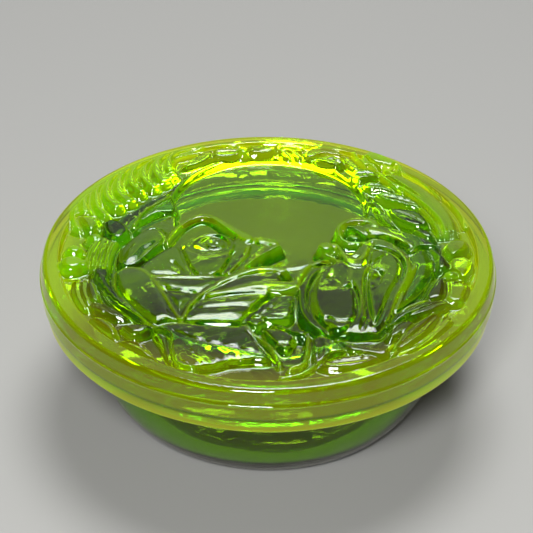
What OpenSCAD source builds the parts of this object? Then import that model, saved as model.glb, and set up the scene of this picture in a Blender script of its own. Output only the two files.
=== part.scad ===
// A pressed glass dish with a loose lid: a shallow flared bowl with a wide flat flange,
// and a thick disc-shaped lid carrying two roses and their leaves round a plain medallion.
// Millimetres. Z = 0 is the table, the Z axis is the axis of the bowl, -Y is the front.

/* [Bowl] */
// Radius of the flat base that the dish stands on
base_r = 39.6; // [38:0.2:41]
// Radius of the round that carries the base up into the wall
wall_round = 26; // [25.5:0.1:27]
// Outside radius of the wall under the flange
wall_r = 47.7; // [47.3:0.1:48.3]
// Thickness of the wall
wall_t = 4.5; // [3.8:0.1:4.8]
// Thickness of the floor
floor_t = 5; // [4:0.2:6]
// Outside radius of the flange
flange_r = 59.4; // [58.5:0.1:60]
// Thickness of the flange at its edge
flange_t = 4; // [3.4:0.1:4.4]
// Height of the bowl, up to the seat of the lid
bowl_h = 33.2; // [32:0.2:36]

/* [Lid] */
// Radius of the lid at its widest
lid_r = 60.6; // [60:0.1:61.5]
// Thickness of the lid at its rim
lid_t = 9.3; // [8.8:0.1:10]
// Height of the lid's lower wall, up to the bead left by the mould
bead_h = 4.8; // [4.4:0.1:5.2]
// Gap between the lid's locating ring and the mouth of the bowl
fit_gap = 0.5; // [0.4:0.05:0.8]
// Depth of the locating ring below the seat
ring_h = 2.8; // [2.4:0.1:2.9]
// Width of the locating ring
ring_w = 3.2; // [2.6:0.1:3.6]
// Depth of the shallow hollow inside the locating ring
hollow_h = 1; // [0.6:0.1:1.1]

/* [Relief] */
// Radius of the carved field inside the flat rim
field_r = 55.4; // [55:0.1:56]
// Depth of the ground of the relief below the flat rim
ground_d = 1.4; // [1.2:0.1:1.8]
// Depth of the plain medallion below the flat rim
medal_d = 2.4; // [2.2:0.1:2.8]
// Radius of the plain medallion
medal_r = 27; // [26.5:0.1:27.5]
// Distance of the medallion behind the middle of the lid
medal_y = 21; // [20.6:0.1:21.4]
// Height of the relief, as a share of the modelled height
relief_gain = 1.05; // [0.8:0.05:1.1]
// Squares across the relief: more is finer and slower
relief_grid = 60; // [40:2:64]

/* [Hidden] */
$fn = 96;

glass = "#a9cf0a";
lid_glass = "#b6d60e";
seat_z = bowl_h;
top_z = bowl_h + lid_t;
flange_z = bowl_h - flange_t;
mouth_r = wall_r - wall_t;
arc_x = wall_r - wall_round;       // radius of the circle on which the round is centred
arc_z = sqrt(pow(wall_round, 2) - pow(base_r - arc_x, 2)); // height of its centre
cove_r = 3;                        // cove between the wall and the flange
edge = 0.5;                        // small chamfer on the edges
rim_round = 1.5;                   // round on the lid's upper edge
side_lean = 10;                    // how far the lid's upper side leans in, in degrees
bead_r = 0.35;                     // half height of the mould bead
sink = 1;                          // how far the relief's block is let into the lid
block_z = top_z - medal_d - sink;  // underside of the relief's block
block_r = field_r + 0.6;
floor_z = top_z - medal_d;
ground = top_z - ground_d;
bank = 1.6;                        // width of the slope at the medallion's edge
roll_skirt = 0.6;                  // extra half width where a roll runs down into the ground
sunk = 0.9;                        // how far below the ground the foot of a blade lies

// ---- the bowl ---------------------------------------------------------------------------

// Half section of the outside: a round from the base up to an upright wall
module wall_section(r, round, top) {
    intersection() {
        translate([r - round, arc_z]) circle(r = round);
        square([r, arc_z]);
    }
    square([r - round, arc_z]);
    translate([0, arc_z - 1]) square([r, top - arc_z + 1]);
}

// Half section of the flange, with a cove under it and chamfered edges
module flange_section() {
    polygon([[0, flange_z], [flange_r - edge, flange_z], [flange_r, flange_z + edge],
             [flange_r, seat_z - edge], [flange_r - edge, seat_z], [0, seat_z]]);
    difference() {
        translate([wall_r - 1, flange_z - cove_r]) square([cove_r + 1, cove_r + 0.5]);
        translate([wall_r + cove_r, flange_z - cove_r]) circle(r = cove_r);
    }
}

// Half section of the hollow, with a small chamfer at the mouth
module hollow_section() {
    intersection() {
        wall_section(mouth_r, wall_round - wall_t, seat_z + 1);
        translate([0, floor_t]) square([mouth_r, seat_z]);
    }
    polygon([[0, seat_z - edge], [mouth_r, seat_z - edge],
             [mouth_r + 2 * edge, seat_z + edge], [0, seat_z + edge]]);
}

module bowl() {
    color(glass) rotate_extrude() difference() {
        union() {
            intersection() {
                wall_section(wall_r, wall_round, flange_z + 1);
                square([wall_r, flange_z + 1]);
            }
            flange_section();
        }
        hollow_section();
    }
}

// ---- the relief -------------------------------------------------------------------------
// The relief is the highest of many blades. A blade is one petal, lip, leaf or knob:
//   [x0, y0, x1, y1, bow, half width, height, kind]
// It runs from (x0, y0) to (x1, y1), bows sideways to its left by bow, and stands above the
// ground by height. Kind 0 is a round-ended roll, kind 1 a petal, kind 2 a creased leaf.

left_rose = [
    [-23, 10, -10, 12, 3.5, 1.9, 3.9, 0], [-13, 14, -5, 6, 0.6, 2.1, 3.9, 0],
    [-6, 6.5, 2.5, 2, 0.8, 2.3, 4, 0], [-24, -3, -13, 7.5, 2.6, 1.3, 3.2, 0],
    [-14, 7.5, -6, -3, 1.8, 1.3, 3.2, 0], [-23, -1, -7, -2, -3.4, 1.2, 3, 0],
    [-18, 1, -10.5, 1, 3.2, 1.1, 3.3, 0], [-16.5, 0, -11, 2.5, -2, 1, 3, 0],
    [-14, -3, -13.5, 6, 0, 6.5, 1.7, 1], [3, 0, -9, -13, 2, 1.2, 3.2, 0],
    [-1, -1, -9, -10, 1.2, 1, 2.8, 0], [-20, -3, -10, -12, 0, 6, 2.2, 1],
    [-30, -14.6, -11, -14.4, -0.6, 1.1, 3.2, 0], [-12, -15, 5, -12, 2.2, 2.1, 3.8, 0],
    [-27, -3, -28, -13, -1, 6, 2, 1], [-36, -10, -25, -34, 0.5, 7.4, 2.6, 1],
    [-36, -10.5, -22, -33, 3.6, 1, 3.3, 0], [-39, -12, -28, -34.5, -3.6, 1, 3, 0],
    [-29, -18, -12, -19, 0, 4.2, 2.3, 1], [-22, -33, 6, -13.5, 4.6, 1, 3.3, 0],
    [-21, -31, 4, -21, 1, 5.6, 2.3, 1], [-15, -22, 7.5, -18, 3.4, 2, 4, 0],
];

right_rose = [
    [18.5, 6, 24.5, 13.5, 2.4, 2.1, 4, 0], [24, 13.5, 30, 9, 2, 1.9, 3.8, 0],
    [20, 5.5, 27, 3, -2.2, 1.2, 3.2, 0], [28, 8.5, 45, -4, 3.4, 1.9, 3.7, 0],
    [27, 5.5, 38, -1, 2, 1.3, 3.2, 0], [15.3, 1, 17.8, 1.4, 0, 2.6, 4.1, 0],
    [16.5, 0, 19.5, -6.5, -0.6, 1.4, 3.6, 0], [20, -6, 25, 1, -1.6, 1.7, 3.6, 0],
    [17, -6.5, 8, -20, -3.2, 2, 3.9, 0], [12.5, -10, 13.5, -36, -1.5, 5.2, 3, 1],
    [18.5, -9, 19.5, -36, 0, 4.4, 2.8, 1], [27, -3, 26, -36, 1.5, 5.6, 3, 1],
    [32, -2, 30, -37, 4.4, 3, 2.8, 1], [24.5, -5, 25.5, -35, -1.8, 0.9, 3.6, 0],
    [28, -1, 31, -37, 8, 1.1, 3.6, 0], [19.5, -9, 17.5, -22, 2, 1, 3.3, 0],
    [8, -19, 12, -36, -1.6, 1, 3.3, 0], [38, -3, 34, -26, 3, 3, 2.2, 1],
];

leaves = [
    [-5, -33, 7, -21, 1.6, 4, 2.6, 2], [6.5, -21, 9.5, -37, -0.6, 2.6, 2.3, 1],
    [-25, -41, 3, -47, 0.5, 6.4, 2.3, 2], [-27, -36, -21, -50, -2.4, 1.1, 2.9, 0],
    [-22, -50, 3, -50, -2.4, 1.2, 2.7, 0], [-3, -36, 4, -50, 1.2, 1, 2.5, 0],
    [-4, -35, 9, -41, 0.6, 2.4, 2.3, 2], [9, -37, 6, -51, 1, 1, 2.6, 0],
    [10, -38, 29, -41, -1, 2.6, 2.2, 2], [10, -51, 32, -44, -2.2, 2.9, 2.4, 2],
    [30, -45, 49, -27, -3.6, 2.6, 2.4, 2], [30, -40, 47, -25, 0, 2.8, 2.4, 2],
    [31, -36, 47, -20, 2.2, 2, 2.6, 0], [-48, -13, -44, -27, -1.2, 2.5, 2.2, 2],
    [-42, -12, -29, -34, -2.2, 2.2, 2.4, 2], [-51, -15, -40, -37, -3.4, 2.6, 2.2, 2],
    [-43, -31, -28, -38, -0.6, 2.8, 2.4, 2], [-38, -39, -25, -47, -1.4, 2.2, 2.3, 2],
    [-39, -4, -30, 10, 2.4, 4.2, 3, 1], [-34, -9, -26, 7, 0, 3, 2.8, 1],
    [-38, 10, -25, 17, 1.6, 2, 2.4, 2], [29, 35, 47, 7, 4.4, 2.8, 2.4, 2],
    [28, 29, 43, 7, 1.6, 3.4, 2.4, 2], [33, 39, 51, 8, 5.4, 2.4, 2.8, 1],
    [20, 45, 28, 37, 1, 3, 2.4, 2], [-30, 17, -24, 25, 1.2, 1.6, 2.2, 0],
];

// Knobs: [x, y, radius, height]
knobs = [
    [-51, -6, 4.3, 3.3], [-50, 0, 3, 2.8], [-45, 3.5, 3, 2.8], [-42, 8, 3.8, 3.2], [-37, 9, 3, 3],
    [31, 47.5, 4.8, 4.4], [35.5, 41.5, 2.6, 3.2], [51, 4.5, 3.8, 3], [52, -4, 4.2, 3],
    [50, -13, 4.2, 3], [44.5, -17, 4, 2.8], [44, -5, 3.4, 2.8], [48, -9, 2.2, 3.4],
];

// Flutes that sweep in from the rim to the medallion, from the left to the top
flutes = [for (i = [0:10]) let (a = 168 - 6.4 * i, b = a - 18)
    [53 * cos(a), 53 * sin(a), medal_r * 1.16 * cos(b), medal_y * 0.93 + medal_r * 1.1 * sin(b) - 2,
     2.6 - 0.1 * i, 2.1, 2.7, 2]];

// Short leaves along the top, between the rim and the medallion
top_leaves = [for (i = [0:6]) let (a = 99 - 7 * i)
    [53.5 * cos(a), 53.5 * sin(a), 48.5 * cos(a - 6), 48.5 * sin(a - 6) + 0.4,
     (i % 2 == 0 ? 1 : -1) * 0.8, 2.2, 2.6, 2]];

blades = concat(left_rose, right_rose, leaves, flutes, top_leaves);

// Share of the half width at u, from 0 at one end of a blade to 1 at the other
function taper(u, kind) =
    kind == 0 ? sqrt(max(0, 1 - pow(2 * u - 1, 6))) :
    kind == 1 ? sqrt(max(0, 1 - pow(2 * u - 1, 2))) :
    pow(max(0, sin(180 * u)), 0.8);

// Height of a section at t, from 0 at the middle of a blade to 1 at its side
function section(t, kind) =
    kind == 2 ? (1 - t * t) * (0.72 + 0.28 * min(1, 3 * t)) :
    kind == 1 ? sqrt(1 - t * t) : pow(1 - t * t, 0.8);

function blade_at(p, b, len, along) =
    let (q = p - [b[0], b[1]], u = (q * along) / len)
    u <= 0 || u >= 1 ? 0 :
    let (v = q * [-along[1], along[0]] - b[4] * 4 * u * (1 - u),
         w = (b[5] + (b[7] == 0 ? roll_skirt : 0)) * taper(u, b[7]))
    abs(v) >= w ? 0 : b[6] * section(abs(v) / w, b[7]);

function near(p, b) =
    let (m = b[5] + abs(b[4]))
    p[0] > min(b[0], b[2]) - m && p[0] < max(b[0], b[2]) + m &&
    p[1] > min(b[1], b[3]) - m && p[1] < max(b[1], b[3]) + m;

function blade_height(p) = max([0, for (b = blades) if (near(p, b))
    let (d = [b[2] - b[0], b[3] - b[1]], len = norm(d)) blade_at(p, b, len, d / len)]);

function knob_height(p) = max([0, for (k = knobs)
    let (t = norm(p - [k[0], k[1]]) / k[2]) if (t < 1) k[3] * sqrt(1 - t * t)]);

// Ground of the relief: flat, with a bank down to the medallion and a gentle hollow in it
function ground_at(p) =
    let (t = (norm(p - [0, medal_y]) - medal_r) / bank)
    t >= 0 ? ground : max(floor_z, ground + t * (medal_d - ground_d));

// The blades die away towards the flat rim
function fade(p) = min(1, max(0, (field_r - norm(p)) / 2.2));

function relief_at(p) =
    let (g = ground_at(p), h = max(blade_height(p), knob_height(p)) * relief_gain * fade(p))
    h <= 0 ? g : max(g, ground - sunk + h);

// Mean of the relief around p, so that steep sides run smoothly across the squares
function smooth_relief(p) =
    let (s = block_r / relief_grid, taps = [for (dy = [-s, 0, s], dx = [-s, 0, s]) [dx, dy]],
         z = [for (t = taps) relief_at(p + t)])
    z * [for (t = taps) 1] / len(taps);

// A square grid eased out into a disc, so that its cells stay about the same size
function disc_point(i, j) =
    let (a = 2 * i / relief_grid - 1, b = 2 * j / relief_grid - 1)
    block_r * [a * sqrt(1 - b * b / 2), b * sqrt(1 - a * a / 2)];

module relief_block() {
    n = relief_grid;
    m = n + 1;
    top = [for (j = [0:n], i = [0:n]) let (p = disc_point(i, j)) [p[0], p[1], smooth_relief(p)]];
    edge_at = concat([for (i = [0:n - 1]) i], [for (j = [0:n - 1]) j * m + n],
                     [for (i = [n:-1:1]) n * m + i], [for (j = [n:-1:1]) j * m]);
    k = len(edge_at);
    foot = [for (e = edge_at) [top[e][0], top[e][1], block_z]];
    // Each square is cut along the diagonal whose ends are nearer in height
    cells = [for (j = [0:n - 1], i = [0:n - 1])
        let (a = j * m + i, b = a + 1, c = a + m, d = c + 1)
        abs(top[a][2] - top[d][2]) < abs(top[b][2] - top[c][2]) ?
            [[a, d, b], [a, c, d]] : [[a, c, b], [b, c, d]]];
    faces = concat(
        [for (cell = cells, face = cell) face],
        [for (e = [0:k - 1]) [edge_at[e], edge_at[(e + 1) % k], m * m + e]],
        [for (e = [0:k - 1]) [edge_at[(e + 1) % k], m * m + (e + 1) % k, m * m + e]],
        [[for (e = [0:k - 1]) m * m + e]]);
    polyhedron(concat(top, foot), faces);
}

// ---- the lid ----------------------------------------------------------------------------

// Half section of the lid: a flat rim with a rounded shoulder, a bead, and an upright wall
module lid_section() {
    bead_z = seat_z + bead_h;
    bead_x = lid_r - edge / 2;
    shoulder_z = top_z - rim_round;
    lean_x = rim_round * cos(side_lean);
    lean_z = shoulder_z + rim_round * sin(side_lean);
    shoulder_x = bead_x - (lean_z - bead_z) * tan(side_lean) - lean_x;
    difference() {
        union() {
            polygon([[0, seat_z], [lid_r - 2 * edge, seat_z], [lid_r - edge, seat_z + edge],
                     [bead_x, bead_z], [shoulder_x + lean_x, lean_z], [0, lean_z]]);
            translate([shoulder_x, shoulder_z]) circle(r = rim_round);
            translate([0, shoulder_z]) square([shoulder_x, rim_round]);
            translate([lid_r - bead_r, bead_z]) circle(r = bead_r);
        }
        translate([-1, floor_z]) square([field_r + 1, medal_d + 1]);
    }
}

// Half section of the locating ring, which sits inside the mouth of the bowl
module ring_section() {
    ring_r = mouth_r - fit_gap;
    polygon([[ring_r - ring_w, seat_z - ring_h + edge], [ring_r - ring_w + edge, seat_z - ring_h],
             [ring_r - edge, seat_z - ring_h], [ring_r, seat_z - ring_h + edge],
             [ring_r, seat_z + 1], [ring_r - ring_w, seat_z + 1]]);
}

module lid() {
    color(lid_glass) {
        relief_block();
        rotate_extrude() union() {
            difference() {
                lid_section();
                translate([-1, seat_z - 1])
                    square([mouth_r - fit_gap - ring_w + 1, hollow_h + 1]);
            }
            ring_section();
        }
    }
}

bowl();
lid();
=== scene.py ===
"""A covered dish of pressed uranium glass: a shallow flanged bowl and a loose lid with two roses.

The bowl is one turned mesh. The lid's field is a carved surface: petals, rolled lips, leaves and
knobs are laid over each other in the order in which they overlap. Lengths in the carving are in
millimetres, from the middle of the lid, with heights above the ground of the relief.
"""

import math

import bpy
import numpy as np
from mathutils import Matrix, Vector


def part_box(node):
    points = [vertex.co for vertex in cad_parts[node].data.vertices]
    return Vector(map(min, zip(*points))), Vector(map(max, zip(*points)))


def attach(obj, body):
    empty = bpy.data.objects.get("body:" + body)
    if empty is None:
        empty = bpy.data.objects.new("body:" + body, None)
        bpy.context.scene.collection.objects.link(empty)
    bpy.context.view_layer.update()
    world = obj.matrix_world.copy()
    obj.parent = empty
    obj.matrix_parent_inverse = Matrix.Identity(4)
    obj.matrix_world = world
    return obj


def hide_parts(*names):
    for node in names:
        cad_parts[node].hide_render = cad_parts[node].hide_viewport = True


bl_info = {
    "name": "Uranium Glass Dish",
    "version": (1, 0, 0),
    "blender": (4, 5, 0),
    "location": "View3D > Sidebar > Glass Dish",
    "description": "Makes a covered dish of pressed uranium glass with a rose relief on its lid",
    "category": "Add Mesh",
}

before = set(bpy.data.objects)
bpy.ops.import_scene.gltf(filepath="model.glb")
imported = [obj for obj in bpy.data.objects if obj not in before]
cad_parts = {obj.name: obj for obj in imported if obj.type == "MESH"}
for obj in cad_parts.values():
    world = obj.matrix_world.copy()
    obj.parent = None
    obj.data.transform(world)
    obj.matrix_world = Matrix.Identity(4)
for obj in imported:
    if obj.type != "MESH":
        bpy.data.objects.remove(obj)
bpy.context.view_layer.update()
BOWL_LOW, BOWL_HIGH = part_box("bowl")
LID_LOW, LID_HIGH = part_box("lid")

MM = 0.001
SEAT = BOWL_HIGH[2]  # the lid rests here, on top of the bowl's flange
FLANGE_R = (BOWL_HIGH[0] - BOWL_LOW[0]) / 2
LID_R = (LID_HIGH[0] - LID_LOW[0]) / 2
AIR = 0.04 * MM  # film of air between the lid and the flange under it


# ---- sizes and colours ---------------------------------------------------------------------


class DishBowlSizes(bpy.types.PropertyGroup):
    """Sizes of the bowl"""

    base_r: bpy.props.FloatProperty(
        name="Base Radius",
        description="Radius of the flat base that the dish stands on",
        default=39.6 * MM, min=0.0, unit="LENGTH",
    )
    wall_r: bpy.props.FloatProperty(
        name="Wall Radius",
        description="Outside radius of the wall under the flange",
        default=47.7 * MM, min=0.0, unit="LENGTH",
    )
    wall_round: bpy.props.FloatProperty(
        name="Wall Round",
        description="Radius of the round that carries the base up into the wall",
        default=26 * MM, min=0.0, unit="LENGTH",
    )
    wall_t: bpy.props.FloatProperty(
        name="Wall Thickness",
        description="Thickness of the wall",
        default=4.5 * MM, min=0.0, unit="LENGTH",
    )
    floor_t: bpy.props.FloatProperty(
        name="Floor Thickness",
        description="Thickness of the floor",
        default=5 * MM, min=0.0, unit="LENGTH",
    )
    flange_t: bpy.props.FloatProperty(
        name="Flange Thickness",
        description="Thickness of the flange at its edge",
        default=4 * MM, min=0.0, unit="LENGTH",
    )
    ripple: bpy.props.FloatProperty(
        name="Ripple",
        description="Height of the soft ripple that pressing leaves in the glass",
        default=0.05 * MM, min=0.0, unit="LENGTH",
    )
    segments: bpy.props.IntProperty(
        name="Segments",
        description="Number of segments round the bowl",
        default=360, min=24, max=720,
    )


class DishLidSizes(bpy.types.PropertyGroup):
    """Sizes of the lid"""

    thickness: bpy.props.FloatProperty(
        name="Thickness",
        description="Thickness of the lid at its rim",
        default=9.3 * MM, min=0.0, unit="LENGTH",
    )
    rim_r: bpy.props.FloatProperty(
        name="Flat Rim Radius",
        description="Radius at which the flat rim starts to turn down",
        default=58.3 * MM, min=0.0, unit="LENGTH",
    )
    bead_h: bpy.props.FloatProperty(
        name="Bead Height",
        description="Height of the mould bead above the seat",
        default=4.8 * MM, min=0.0, unit="LENGTH",
    )
    ring_r: bpy.props.FloatProperty(
        name="Locating Ring Radius",
        description="Outside radius of the ring under the lid",
        default=42.7 * MM, min=0.0, unit="LENGTH",
    )
    ring_w: bpy.props.FloatProperty(
        name="Locating Ring Width",
        description="Width of the ring under the lid",
        default=3.2 * MM, min=0.0, unit="LENGTH",
    )
    ring_h: bpy.props.FloatProperty(
        name="Locating Ring Depth",
        description="Depth of the ring below the seat",
        default=2.8 * MM, min=0.0, unit="LENGTH",
    )
    hollow_h: bpy.props.FloatProperty(
        name="Hollow Depth",
        description="Depth of the shallow hollow inside the ring",
        default=1 * MM, min=0.0, unit="LENGTH",
    )
    ground_d: bpy.props.FloatProperty(
        name="Ground Depth",
        description="Depth of the ground of the relief below the flat rim",
        default=1.4 * MM, min=0.0, unit="LENGTH",
    )
    grid: bpy.props.IntProperty(
        name="Relief Grid",
        description="Squares across the relief, a multiple of three",
        default=264, min=60, max=276,
    )


class DishGlassColours(bpy.types.PropertyGroup):
    """Colours of the glass"""

    tint: bpy.props.FloatVectorProperty(
        name="Tint",
        description="Colour of light that has passed through the glass",
        default=(0.79, 0.92, 0.0), size=3, min=0.0, max=1.0, subtype="COLOR",
    )
    bowl_density: bpy.props.FloatProperty(
        name="Bowl Tint Density",
        description="How strongly each metre of the bowl's glass tints the light",
        default=660, min=0.0,
    )
    lid_density: bpy.props.FloatProperty(
        name="Lid Tint Density",
        description="How strongly each metre of the lid's glass tints the light",
        default=260, min=0.0,
    )
    surface: bpy.props.FloatVectorProperty(
        name="Surface",
        description="Colour of the skin of the glass",
        default=(1.0, 1.0, 0.12), size=3, min=0.0, max=1.0, subtype="COLOR",
    )
    surface_worn: bpy.props.FloatVectorProperty(
        name="Worn Surface",
        description="Colour of the skin where handling has dulled it",
        default=(0.94, 0.96, 0.09), size=3, min=0.0, max=1.0, subtype="COLOR",
    )
    # painted glow: colour of the emission that stands in for the uranium fluorescence and for light
    # the glass takes in
    glow: bpy.props.FloatVectorProperty(
        name="Glow",
        description="Colour of the uranium glow",
        default=(1.0, 0.96, 0.0), size=3, min=0.0, max=1.0, subtype="COLOR",
    )
    # painted glow: faint emission away from the edges
    middle_painted_glow: bpy.props.FloatProperty(
        name="Middle Glow",
        description="Strength of the glow away from the edges",
        default=0.005, min=0.0,
    )
    # painted highlight: emission on the rolled lips that stands in for the light they catch
    lip_painted_highlight: bpy.props.FloatProperty(
        name="Lip Glow",
        description="Strength of the glow on the rolled lips of the petals",
        default=0.14, min=0.0,
    )
    # colour of the painted highlight on the rolled lips
    lip_highlight_hue: bpy.props.FloatVectorProperty(
        name="Lip Hue",
        description="Colour of the glow on the rolled lips",
        default=(0.55, 1.0, 0.0), size=3, min=0.0, max=1.0, subtype="COLOR",
    )
    # painted glow: emission at the bowl's flange that stands in for the light entering there
    bowl_edge_painted_glow: bpy.props.FloatProperty(
        name="Bowl Edge Glow",
        description="Strength of the glow at the bowl's flange, which takes in the most light",
        default=0.16, min=0.0,
    )
    # painted glow: emission at the lid's edge that stands in for the light entering there
    lid_edge_painted_glow: bpy.props.FloatProperty(
        name="Lid Edge Glow",
        description="Strength of the glow at the lid's edge",
        default=0.14, min=0.0,
    )
    # radii at which the painted edge glow of each piece starts to rise
    bowl_glow_from: bpy.props.FloatProperty(
        name="Bowl Glow From",
        description="Radius at which the bowl's glow starts to rise",
        default=51 * MM, unit="LENGTH",
    )
    lid_glow_from: bpy.props.FloatProperty(
        name="Lid Glow From",
        description="Radius at which the lid's glow starts to rise",
        default=44 * MM, unit="LENGTH",
    )


class DishStageSettings(bpy.types.PropertyGroup):
    """Floor, lights and camera"""

    floor: bpy.props.FloatVectorProperty(
        name="Floor",
        description="Colour of the pale floor",
        default=(0.40, 0.40, 0.385), size=3, min=0.0, max=1.0, subtype="COLOR",
    )
    horizon: bpy.props.FloatProperty(
        name="Horizon Light",
        description="Brightness of the studio round the horizon",
        default=0.1, min=0.0,
    )
    ceiling: bpy.props.FloatProperty(
        name="Ceiling Light",
        description="Brightness of the studio overhead",
        default=0.03, min=0.0,
    )
    elevation: bpy.props.FloatProperty(
        name="Camera Elevation",
        description="Angle of the camera above the horizon",
        default=math.radians(34.3), subtype="ANGLE",
    )
    roll: bpy.props.FloatProperty(
        name="Camera Roll",
        description="Tilt of the camera about its own line of sight",
        default=math.radians(0.41), subtype="ANGLE",
    )
    distance: bpy.props.FloatProperty(
        name="Camera Distance",
        description="Distance from the camera to the middle of the lid",
        default=0.48, unit="LENGTH",
    )
    lens: bpy.props.FloatProperty(
        name="Lens",
        description="Focal length in millimetres on a 36 mm sensor",
        default=122.2,
    )


# ---- glass ---------------------------------------------------------------------------------


GLASS_IOR = 1.51
FULL_GLOW_R = 57 * MM  # radius from which the painted glow at an edge is at its full strength
BOWL_SEAM_SHADE = 1.2 * MM  # height over which the bowl's painted glow fades to painted shade at the seam
LID_SEAM_SHADE = 1.4 * MM  # height over which the lid's painted glow fades to painted shade at the seam
BOWL_WAVES, LID_WAVES = 260.0, 420.0  # scale of the fine waves in each piece's surface
WAVE_H = 0.2 * MM


def value_range(nodes, start, end, low, high, kind="SMOOTHSTEP"):
    """A value that goes from low at start to high at end."""
    ramp = nodes.new("ShaderNodeMapRange")
    ramp.interpolation_type = kind
    ramp.inputs["From Min"].default_value = start
    ramp.inputs["From Max"].default_value = end
    ramp.inputs["To Min"].default_value = low
    ramp.inputs["To Max"].default_value = high
    return ramp


def colour_range(nodes, first, second, start=0.0, end=1.0):
    """A colour that goes from the first one at start to the second one at end."""
    ramp = nodes.new("ShaderNodeValToRGB")
    stops = ramp.color_ramp.elements
    stops[0].position = start
    stops[0].color = (*first, 1.0)
    stops[1].position = end
    stops[1].color = (*second, 1.0)
    return ramp


def noise(nodes, scale, detail=2.0):
    """Soft noise of a scale and detail."""
    texture = nodes.new("ShaderNodeTexNoise")
    texture.inputs["Scale"].default_value = scale
    texture.inputs["Detail"].default_value = detail
    return texture


def add_painted_glow(tree, place, colours, glow_from, edge_painted_glow, seam_z):
    """The painted glow: emission that stands in for the uranium fluorescence and for the light that
    the glass takes in at its edges, so it rises towards the outer edge.
    It fades to painted shade near the seam between bowl and lid, and a painted highlight lies on the
    rolled lips, which the mesh's own lip value marks."""
    nodes, links = tree.nodes, tree.links
    shader = nodes["Principled BSDF"]
    flat = nodes.new("ShaderNodeVectorMath")
    flat.operation = "MULTIPLY"
    flat.inputs[1].default_value = (1.0, 1.0, 0.0)
    radius = nodes.new("ShaderNodeVectorMath")
    radius.operation = "LENGTH"
    links.new(place.outputs["Object"], flat.inputs[0])
    links.new(flat.outputs["Vector"], radius.inputs[0])
    # painted glow: stronger towards the outer edge, where lamp light enters the glass
    edge = value_range(nodes, glow_from, FULL_GLOW_R, colours.middle_painted_glow, edge_painted_glow)
    links.new(radius.outputs["Value"], edge.inputs["Value"])

    # painted shade: the edge glow fades to nothing at the seam between bowl and lid
    split = nodes.new("ShaderNodeSeparateXYZ")
    links.new(place.outputs["Object"], split.inputs["Vector"])
    seam = value_range(nodes, SEAT, seam_z, 0.0, 1.0)
    links.new(split.outputs["Z"], seam.inputs["Value"])

    # painted highlight on the rolled lips and knobs, placed by the mesh's lip value
    lip = nodes.new("ShaderNodeAttribute")
    lip.attribute_name = "lip"
    lips = value_range(nodes, 0.2, 1.0, 0.0, colours.lip_painted_highlight)
    links.new(lip.outputs["Fac"], lips.inputs["Value"])
    hue = colour_range(nodes, colours.glow, colours.lip_highlight_hue)
    links.new(lip.outputs["Fac"], hue.inputs["Fac"])
    links.new(hue.outputs["Color"], shader.inputs["Emission Color"])

    whole = nodes.new("ShaderNodeMath")
    whole.operation = "MULTIPLY_ADD"
    links.new(edge.outputs["Result"], whole.inputs[0])
    links.new(seam.outputs["Result"], whole.inputs[1])
    links.new(lips.outputs["Result"], whole.inputs[2])
    links.new(whole.outputs["Value"], shader.inputs["Emission Strength"])


def add_skin(tree, place, colours, waves_scale):
    """The skin of the glass: patches that handling has dulled, and fine waves from the mould."""
    nodes, links = tree.nodes, tree.links
    shader = nodes["Principled BSDF"]
    patches = noise(nodes, 38.0, 3.0)
    links.new(place.outputs["Object"], patches.inputs["Vector"])
    skin = colour_range(nodes, colours.surface, colours.surface_worn, 0.35, 0.75)
    links.new(patches.outputs["Fac"], skin.inputs["Fac"])
    links.new(skin.outputs["Color"], shader.inputs["Base Color"])
    polish = value_range(nodes, 0.35, 0.8, 0.01, 0.05, "LINEAR")
    links.new(patches.outputs["Fac"], polish.inputs["Value"])
    links.new(polish.outputs["Result"], shader.inputs["Roughness"])

    waves = noise(nodes, waves_scale)
    links.new(place.outputs["Object"], waves.inputs["Vector"])
    bump = nodes.new("ShaderNodeBump")
    bump.inputs["Strength"].default_value = 0.12
    bump.inputs["Distance"].default_value = WAVE_H
    links.new(waves.outputs["Fac"], bump.inputs["Height"])
    links.new(bump.outputs["Normal"], shader.inputs["Normal"])


def glass_material(name, colours, waves_scale, density, glow_from, edge_painted_glow, seam_z):
    """Yellow-green glass that tints with depth, carries a painted glow at its skin and is faintly
    uneven.
    """
    material = bpy.data.materials.new(name)
    material.use_nodes = True
    tree = material.node_tree
    shader = tree.nodes["Principled BSDF"]
    shader.inputs["Transmission Weight"].default_value = 1.0
    shader.inputs["IOR"].default_value = GLASS_IOR
    place = tree.nodes.new("ShaderNodeTexCoord")
    add_painted_glow(tree, place, colours, glow_from, edge_painted_glow, seam_z)
    add_skin(tree, place, colours, waves_scale)
    depth = tree.nodes.new("ShaderNodeVolumeAbsorption")
    depth.inputs["Color"].default_value = (*colours.tint, 1.0)
    depth.inputs["Density"].default_value = density
    tree.links.new(depth.outputs["Volume"], tree.nodes["Material Output"].inputs["Volume"])
    return material


# ---- meshes --------------------------------------------------------------------------------


def arc(centre, radius, start, end, steps):
    """Points of an arc in a half section, from the start angle to the end angle in degrees."""
    angles = np.radians(np.linspace(start, end, steps + 1))
    return [(centre[0] + radius * math.cos(a), centre[1] + radius * math.sin(a)) for a in angles]


def line(start, end, steps):
    """Points of a straight stretch, without its last point."""
    return [tuple(np.add(start, np.subtract(end, start) * k / steps)) for k in range(steps)]


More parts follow.
